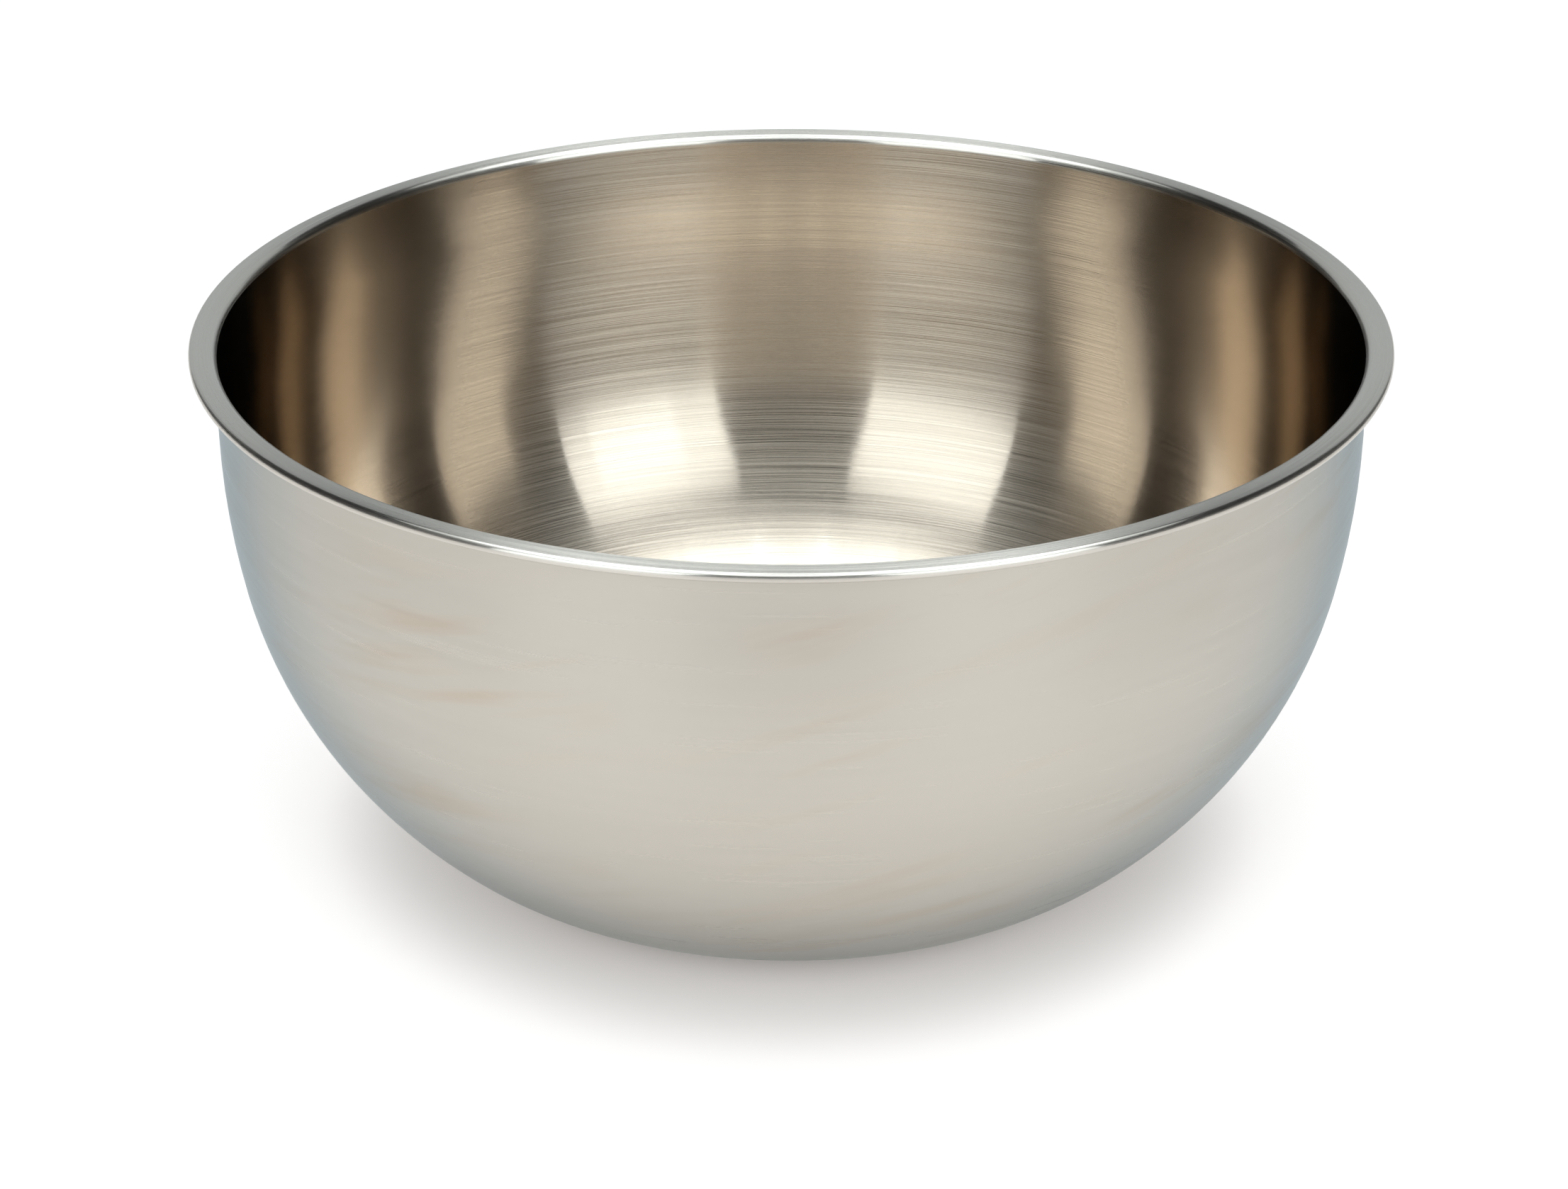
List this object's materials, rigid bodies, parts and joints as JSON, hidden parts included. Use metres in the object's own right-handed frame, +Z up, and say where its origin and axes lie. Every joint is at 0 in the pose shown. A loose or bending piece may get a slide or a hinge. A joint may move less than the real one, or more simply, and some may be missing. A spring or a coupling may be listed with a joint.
{
  "type": "mixing bowl",
  "caption": "Deep round stainless steel mixing bowl with a flat base and a level rim curled outwards and under, for mixing doughs, batters and sauces.",
  "frame": {"origin": "centre of the flat base, on the surface that the bowl stands on", "axes": "+Z up along the bowl's centre line, from the base to the open mouth; the bowl is the same all round, so +X and +Y are free"},
  "size_m": [0.3, 0.3, 0.14],
  "materials": {
    "brushed_steel": "stainless steel: satin outside, fine brushed lines round the inside, and a polished rim"
  },
  "bodies": {
    "root": {"bowl": "brushed_steel"}
  },
  "joints": []
}
